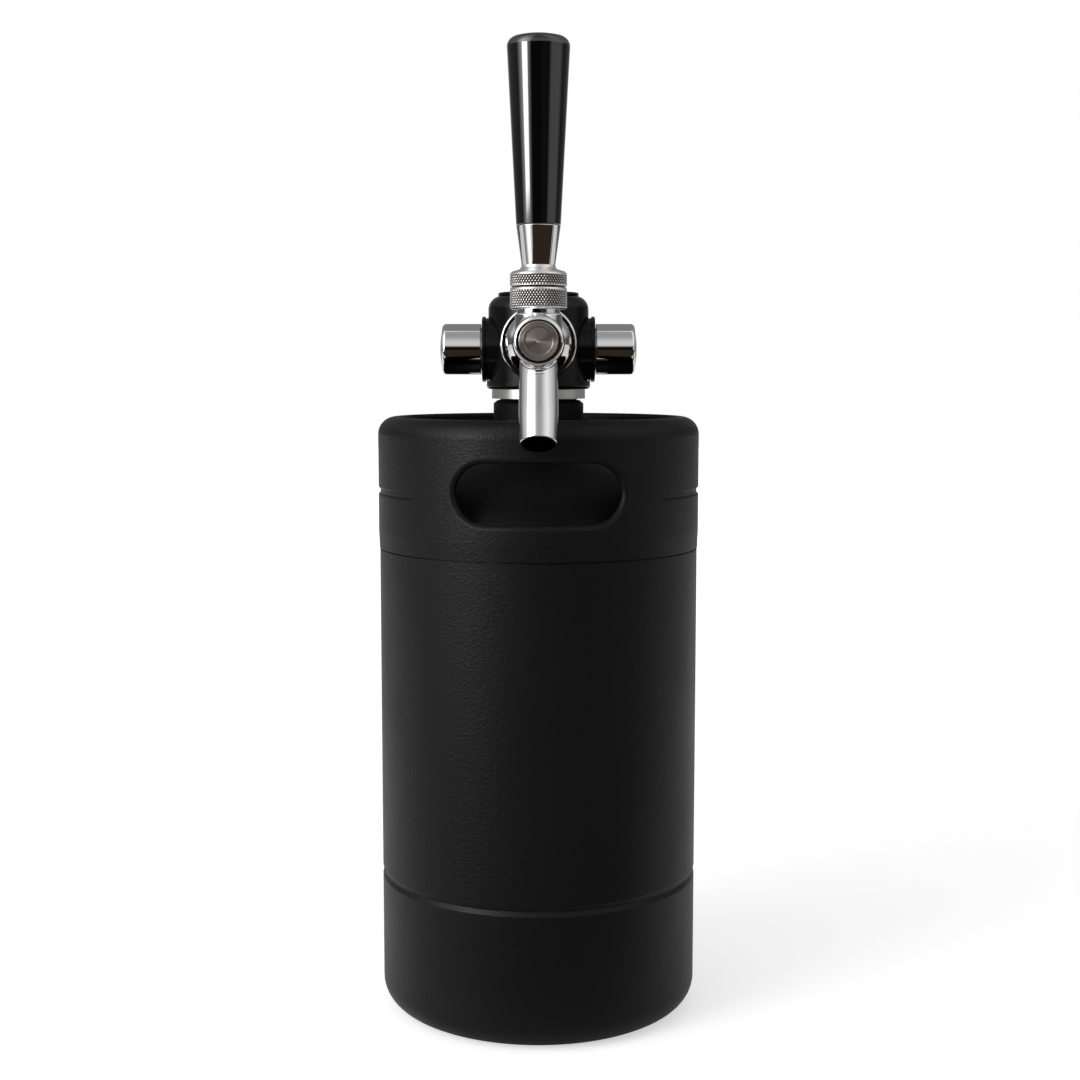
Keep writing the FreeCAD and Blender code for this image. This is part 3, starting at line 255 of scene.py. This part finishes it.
def knurled_steel():
    """Steel whose knurl grooves get painted shade, a near-black found by their distance from the
    lever's axis.
    """
    made = Shader("steel_knurled", STEEL, metallic=1.0)
    split = made.node("ShaderNodeSeparateXYZ")
    made.set(split, 0, made.place)
    zones = []
    for low, high in ((BONNET_LOW + 0.85, RINGS_GAP_LOW), (RINGS_GAP_HIGH, COLLAR_TOP - 0.35)):
        above = made.math("GREATER_THAN", split.outputs[2], low * MM)
        below = made.math("LESS_THAN", split.outputs[2], high * MM)
        zones.append(made.math("MULTIPLY", above, below))
    zone = made.math("ADD", *zones)
    shallow = (BONNET_R - 0.05) * MM
    deep = (BONNET_R - 0.17) * MM
    groove = made.ramp(made.distance(LEVER_Y), shallow, deep, 0, 1)
    # The near-black in the knurl's grooves is painted shade, not the steel's own colour.
    painted_groove_shade = made.math("MULTIPLY", groove, zone)
    broad = made.noise(made.stretched(5, 5, 5), detail=3.0)
    made.tint(painted_groove_shade, (0.90, 0.89, 0.87), (0.035, 0.033, 0.031))
    made.rough(broad, 0.26, 0.34)
    return made.material


def rubber():
    """Dull black rubber of the seals."""
    made = Shader("rubber", (0.014, 0.014, 0.014))
    grain = made.noise(made.stretched(0.25, 0.25, 0.25), detail=4.0)
    made.relief(grain, 0.02)
    made.rough(grain, 0.62, 0.8)
    made.tint(grain, (0.011, 0.011, 0.011), (0.019, 0.019, 0.019))
    return made.material


def nylon():
    """Milky nylon of the ball's washer."""
    made = Shader("nylon", (0.62, 0.60, 0.54), Subsurface_Weight=0.15, Subsurface_Scale=0.002)
    grain = made.noise(made.stretched(0.4, 0.4, 0.4), detail=3.0)
    broad = made.noise(made.stretched(6, 6, 6), detail=2.0)
    made.relief(grain, 0.015)
    made.rough(grain, 0.4, 0.52)
    made.tint(broad, (0.56, 0.54, 0.48), (0.66, 0.64, 0.58))
    return made.material


coat = powder_coat()
housing = satin_plastic()
grip_black = gloss_grip()
bright_chrome = chrome()
soft_rubber = rubber()
milky_nylon = nylon()
knurled = knurled_steel()
upright_steel = turned_metal("steel_upright", STEEL, 2, (0, 0, 0), 0.24, 0.40, step=0.12)
lever_steel = turned_metal("steel_lever", STEEL, 2, (0, LEVER_Y, 0), 0.14, 0.28)
tap_steel = turned_metal("steel_tap", STEEL, 1, (0, 0, TAP_Z), 0.2, 0.34)
port_steel = turned_metal("steel_port", STEEL, 0, (0, 0, PORT_Z), 0.2, 0.34)
plug_steel = turned_metal("plug_steel", (0.52, 0.47, 0.43), 1, (0, 0, TAP_Z), 0.26, 0.36,
                          step=0.07, anisotropy=0.9)
port_brass = turned_metal("brass_port", BRASS, 0, (0, 0, PORT_Z), 0.18, 0.3)
tap_brass = turned_metal("brass_tap", BRASS, 1, (0, 0, TAP_Z), 0.18, 0.3)
lever_brass = turned_metal("brass_lever", BRASS, 2, (0, LEVER_Y, 0), 0.18, 0.3)

finish = {
    coat: ["keg_body", "keg_dome", "top_chime", "keg_neck"],
    housing: ["head_housing", "head_lid", "left_port_collar", "right_port_collar"],
    grip_black: ["handle_grip"],
    bright_chrome: ["inlet_cap", "relief_cap", "shank_flange", "coupling_nut", "faucet_body",
                    "handle_ferrule"],
    soft_rubber: ["head_gasket", "dip_tube_seal", "inlet_fitting_seal", "relief_fitting_seal",
                  "shank_washer", "front_plug_seal", "lever_seal", "inlet_cap_seal",
                  "relief_seal", "seat_washer"],
    milky_nylon: ["ball_washer"],
    upright_steel: ["head_core", "dip_tube", "dip_tube_nut"],
    lever_steel: ["tap_lever", "faucet_bonnet", "lever_collar"],
    tap_steel: ["tap_shank", "valve_shaft"],
    port_steel: ["inlet_fitting", "inlet_guide", "inlet_spring", "relief_fitting",
                 "relief_guide", "relief_spring"],
    plug_steel: ["front_plug"],
    port_brass: ["inlet_pin", "relief_stem"],
    tap_brass: ["shaft_nut"],
    lever_brass: ["grip_insert"],
}
for material, names in finish.items():
    for name in names:
        nodes[name].data.materials.clear()
        nodes[name].data.materials.append(material)


# Turned pieces


TURN_STEPS = 608
ARC_STEPS = 14
ROW_STEP = 0.14
CREASE = 50
MERGE = 1e-7


def arc(radius, start, end):
    """Points of an arc about the lever's ball, angles in degrees above the horizontal."""
    points = []
    for i in range(ARC_STEPS + 1):
        a = math.radians(start + (end - start) * i / ARC_STEPS)
        points.append((radius * math.cos(a), PIVOT_Z + radius * math.sin(a)))
    return points


def rows(low, high):
    """Close points up the knurled wall."""
    count = max(2, round((high - low) / ROW_STEP))
    return [(BONNET_R, low + (high - low) * i / count) for i in range(count + 1)]


def turned(name, profile, body, replaced, dent):
    """Turns a profile of (radius, height) in millimetres round the lever's axis.

    dent gives how far a point moves along its radius.
    """
    verts = []
    for radius, height in profile:
        for i in range(TURN_STEPS):
            a = 2 * math.pi * i / TURN_STEPS
            r = radius + dent(a, radius, height)
            verts.append(Vector((r * math.cos(a), r * math.sin(a) + LEVER_Y, height)) * MM)
    faces = []
    for ring in range(len(profile) - 1):
        low = ring * TURN_STEPS
        high = low + TURN_STEPS
        for i in range(TURN_STEPS):
            j = (i + 1) % TURN_STEPS
            faces.append((low + i, low + j, high + j, high + i))
    mesh = bpy.data.meshes.new(name)
    mesh.from_pydata([tuple(v) for v in verts], [], faces)
    bm = bmesh.new()
    bm.from_mesh(mesh)
    bmesh.ops.remove_doubles(bm, verts=bm.verts, dist=MERGE)
    bmesh.ops.dissolve_degenerate(bm, edges=bm.edges, dist=MERGE)
    bmesh.ops.recalc_face_normals(bm, faces=bm.faces)
    bm.to_mesh(mesh)
    bm.free()
    mesh.shade_smooth()
    mesh.set_sharp_from_angle(angle=math.radians(CREASE))
    mesh.materials.append(knurled)
    made = bpy.data.objects.new(name, mesh)
    bpy.context.scene.collection.objects.link(made)
    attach(made, body)
    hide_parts(replaced)


# Knurled rings


KNURL_STARTS = 58
KNURL_LEAN = 34
KNURL_DEPTH = 0.36
KNURL_FADE = 0.25
LAND_SLOPE = 1.5


def knurl(low, high):
    """A diamond knurl between two heights that fades into plain edges."""
    rise = math.tan(math.radians(KNURL_LEAN)) * KNURL_STARTS / (2 * math.pi * BONNET_R)

    def land(phase):
        """1 on a groove's flat land and 0 in its bottom."""
        return min(1.0, LAND_SLOPE * abs(2 * (phase % 1.0) - 1))

    def dent(angle, radius, height):
        if radius < BONNET_R - 0.01:
            return 0
        turns = angle / (2 * math.pi) * KNURL_STARTS
        fade = min(1.0, max(0.0, min(height - low, high - height) / KNURL_FADE))
        depth = 1 - min(land(turns + height * rise), land(turns - height * rise))
        return -KNURL_DEPTH * depth * fade

    return dent


BONNET_HOLE = 10.15
BONNET_THREAD = 10.26
BONNET_BEVEL = 0.7
COLLAR_HOLE = 4.72
COLLAR_SEAT = 360.68
bonnet_rim = PIVOT_Z + math.sqrt(DOME ** 2 - BONNET_R ** 2)
collar_rim = PIVOT_Z + math.sqrt(HOLLOW ** 2 - BONNET_R ** 2)
bonnet_top = bonnet_rim - 0.25
bonnet_angle = math.degrees(math.asin((bonnet_rim - PIVOT_Z) / DOME))
hole_angle = math.degrees(math.acos(BONNET_HOLE / DOME))
bonnet_profile = [
    (BONNET_THREAD, BONNET_LOW + 3.6), (BONNET_THREAD, BONNET_LOW),
    (BONNET_R - BONNET_BEVEL, BONNET_LOW), (BONNET_R - 0.05, BONNET_LOW + 0.62),
    *rows(BONNET_LOW + 0.75, bonnet_top - 0.1),
    *arc(DOME - 0.02, bonnet_angle + 0.6, hole_angle),
    (7.0, 346.0),
]
turned("bonnet_knurled", bonnet_profile, "head", "faucet_bonnet",
       knurl(BONNET_LOW + 0.9, bonnet_top - 0.25))

hollow_angle = math.degrees(math.asin((collar_rim - PIVOT_Z) / HOLLOW))
stem_angle = math.degrees(math.acos(COLLAR_HOLE / HOLLOW))
collar_profile = [
    (COLLAR_HOLE, COLLAR_SEAT),
    *arc(HOLLOW + 0.01, stem_angle, hollow_angle + 0.6),
    *rows(collar_rim + 0.3, COLLAR_TOP - 0.25),
    (12.6, 356.95), (11.85, 357.78), (11.6, 357.92), (9.2, 358.62), (8.75, 358.78),
    (8.35, 359.02), (8.02, 359.36), (7.76, 359.8), (7.6, 360.25),
    (7.5, COLLAR_SEAT), (COLLAR_HOLE, COLLAR_SEAT),
]
turned("collar_knurled", collar_profile, "handle", "lever_collar",
       knurl(collar_rim + 0.45, COLLAR_TOP - 0.4))


# Stage, lamps and camera


DARK_ROOM = (0.030, 0.019, 0.013)
FILL = (0.5, 0.5, 0.5, 1)
WHITE = (1, 1, 1, 1)

# Heights of a ray, as the sine of its elevation, between which the walls end and the ceiling dims
WALL_TOP = (0.15, 0.30)
CEILING_DIMS = (0.55, 0.85)

# Glow of the floor near the object, far from it, and in metal
NEAR_GLOW = 0.55
FAR_GLOW = 0.9
MIRRORED_GLOW = 0.25

# Walls round the object: azimuth in degrees, grey level, and share of the dark room's colour
WALLS = [(-180, 0.6, 1), (-160, 0.3, 1), (-140, 0.10, 1), (-84, 0.10, 1), (-78, 0, 1),
         (-38, 0, 1.3), (-24, 0, 0.2), (6, 0, 0.2), (22, 0, 1.6), (40, 0, 1),
         (52, 0.55, 1), (86, 0.5, 1), (104, 0.06, 1), (150, 0.12, 1), (180, 0.6, 1)]


def sky_direction(made):
    """Azimuth in degrees, 0 towards the front and positive to its right, and height of a ray."""
    split = made.node("ShaderNodeSeparateXYZ")
    made.set(split, 0, made.node("ShaderNodeTexCoord").outputs["Generated"])
    ahead = made.math("MULTIPLY", split.outputs[1], -1.0)
    azimuth = made.math("ARCTAN2", split.outputs[0], ahead)
    return made.math("DEGREES", azimuth), split.outputs[2]


class Tree(Shader):
    """Node helpers for a tree that isn't a plain material."""

    def __init__(self, tree):
        self.tree = tree


def studio_world():
    """White for the camera; for reflections a bright ceiling and a dark room at the front."""
    world = bpy.data.worlds.new("studio")
    bpy.context.scene.world = world
    world.use_nodes = True
    world.cycles.sampling_method = "NONE"
    made = Tree(world.node_tree)
    azimuth, height = sky_direction(made)
    level = made.node("ShaderNodeValToRGB")
    made.set(level, 0, made.ramp(azimuth, -180, 180, 0, 1))
    ramp = level.color_ramp
    while len(ramp.elements) > 1:
        ramp.elements.remove(ramp.elements[0])
    for i, (angle, value, tone) in enumerate(WALLS):
        place = (angle + 180) / 360
        stop = ramp.elements[0] if i == 0 else ramp.elements.new(place)
        stop.position = place
        stop.color = (*[max(value, part * tone) for part in DARK_ROOM], 1)
    above = made.ramp(height, *WALL_TOP, 0, 1)
    side = made.math("ABSOLUTE", azimuth)
    sides = made.ramp(side, 25, 75, 0, 1)
    middle = made.ramp(height, *CEILING_DIMS, 0.66, 0.34)
    wide = made.ramp(side, 70, 130, 0.95, 0.22)
    ceiling = made.math("ADD", made.math("MULTIPLY", sides, wide),
                        made.math("MULTIPLY", made.math("SUBTRACT", 1.0, sides), middle))
    overhead = made.node("ShaderNodeMix", data_type="RGBA")
    made.set(overhead, 0, above)
    made.set(overhead, 6, level.outputs[0])
    made.set(overhead, 7, ceiling)
    path = made.node("ShaderNodeLightPath")
    shown = made.math("MAXIMUM", path.outputs["Is Camera Ray"],
                      path.outputs["Is Transmission Ray"])
    lit = made.node("ShaderNodeMix", data_type="RGBA")
    made.set(lit, 0, path.outputs["Is Glossy Ray"])
    made.set(lit, 6, FILL)
    made.set(lit, 7, overhead.outputs[2])
    final = made.node("ShaderNodeMix", data_type="RGBA")
    made.set(final, 0, shown)
    made.set(final, 6, lit.outputs[2])
    made.set(final, 7, WHITE)
    made.set(made.tree.nodes["Background"], "Color", final.outputs[2])


def floor_material():
    """Pale floor whose lit part is white and keeps its shadow; metal mirrors a dark strip of it."""
    made = Shader("floor_white", (0.8, 0.8, 0.8), Roughness=0.6)
    grain = made.noise(made.stretched(3, 3, 3), detail=2.0)
    made.tint(grain, (0.79, 0.79, 0.79), (0.81, 0.81, 0.81))
    path = made.node("ShaderNodeLightPath")
    glow = made.node("ShaderNodeEmission")
    far = made.ramp(made.distance(), 0.5, 2.0, NEAR_GLOW, FAR_GLOW)
    shown = made.math("MULTIPLY", path.outputs["Is Camera Ray"], far)
    mirrored = made.math("MULTIPLY", path.outputs["Is Glossy Ray"], MIRRORED_GLOW)
    made.set(glow, "Strength", made.math("ADD", shown, mirrored))
    both = made.node("ShaderNodeAddShader")
    made.set(both, 0, made.bsdf.outputs[0])
    made.set(both, 1, glow.outputs[0])
    split = made.node("ShaderNodeSeparateXYZ")
    made.set(split, 0, made.place)
    behind = made.ramp(split.outputs[1], -0.02, -0.16, 0, 1)
    strip = made.math("MULTIPLY", made.ramp(split.outputs[1], -0.32, -0.35, 0, 1),
                      made.ramp(split.outputs[1], -0.47, -0.50, 1, 0))
    front = made.math("SUBTRACT", behind, made.math("MULTIPLY", strip, 0.75))
    room = made.node("ShaderNodeEmission")
    made.set(room, "Color", (*DARK_ROOM, 1))
    mixed = made.node("ShaderNodeMixShader")
    made.set(mixed, 0, made.math("MULTIPLY", front, path.outputs["Is Glossy Ray"]))
    made.set(mixed, 1, both.outputs[0])
    made.set(mixed, 2, room.outputs[0])
    made.set(made.tree.nodes["Material Output"], "Surface", mixed.outputs[0])
    return made.material


studio_world()
FLOOR_HALF = 6
floor_mesh = bpy.data.meshes.new("studio_floor")
floor_corners = [(x * FLOOR_HALF, y * FLOOR_HALF, 0)
                 for x, y in ((-1, -1), (1, -1), (1, 1), (-1, 1))]
floor_mesh.from_pydata(floor_corners, [], [(0, 1, 2, 3)])
floor_mesh.materials.append(floor_material())
floor = bpy.data.objects.new("studio_floor", floor_mesh)
bpy.context.scene.collection.objects.link(floor)


def lamp(name, aim, azimuth, elevation, distance, width, height, radiance, core):
    """A softbox that fades outside its core, seen from its aim at an azimuth and elevation."""
    data = bpy.data.lights.new(name, "AREA")
    data.shape = "RECTANGLE"
    data.size = width
    data.size_y = height
    data.energy = radiance * math.pi * width * height
    data.use_nodes = True
    glow = Tree(data.node_tree)
    split = glow.node("ShaderNodeSeparateXYZ")
    glow.set(split, 0, glow.node("ShaderNodeNewGeometry").outputs["Parametric"])
    edges = []
    for axis in range(2):
        off = glow.math("ABSOLUTE", glow.math("SUBTRACT", split.outputs[axis], 0.5))
        edges.append(glow.ramp(off, 0.5, core / 2, 0, 1))
    glow.set(glow.tree.nodes["Emission"], "Strength", glow.math("MULTIPLY", *edges))
    made = bpy.data.objects.new(name, data)
    bpy.context.scene.collection.objects.link(made)
    a, e = math.radians(azimuth), math.radians(elevation)
    out = Vector((math.sin(a) * math.cos(e), -math.cos(a) * math.cos(e), math.sin(e)))
    made.location = Vector(aim) + out * distance
    made.rotation_euler = out.to_track_quat("Z", "Y").to_euler()
    made.visible_camera = False


lamp("strip_left", aim=(0, LEVER_Y * MM, 0.40), azimuth=-52, elevation=6, distance=1.5,
     width=0.62, height=0.36, radiance=10.0, core=0.8)
lamp("key_left", aim=(0, 0, 0.25), azimuth=-54, elevation=24, distance=1.6,
     width=1.7, height=3.0, radiance=3.3, core=0.1)

CAMERA_TILT = 0.102

camera_data = bpy.data.cameras.new("camera")
camera_data.sensor_width = 36
camera_data.lens = 55.377
camera_data.shift_x = 0.0014
camera = bpy.data.objects.new("camera", camera_data)
bpy.context.scene.collection.objects.link(camera)
camera.location = (0, -0.817, 0.31425)
camera.rotation_euler = (math.pi / 2 - CAMERA_TILT, 0, 0)
bpy.context.scene.camera = camera

bpy.context.scene.view_settings.view_transform = "Standard"
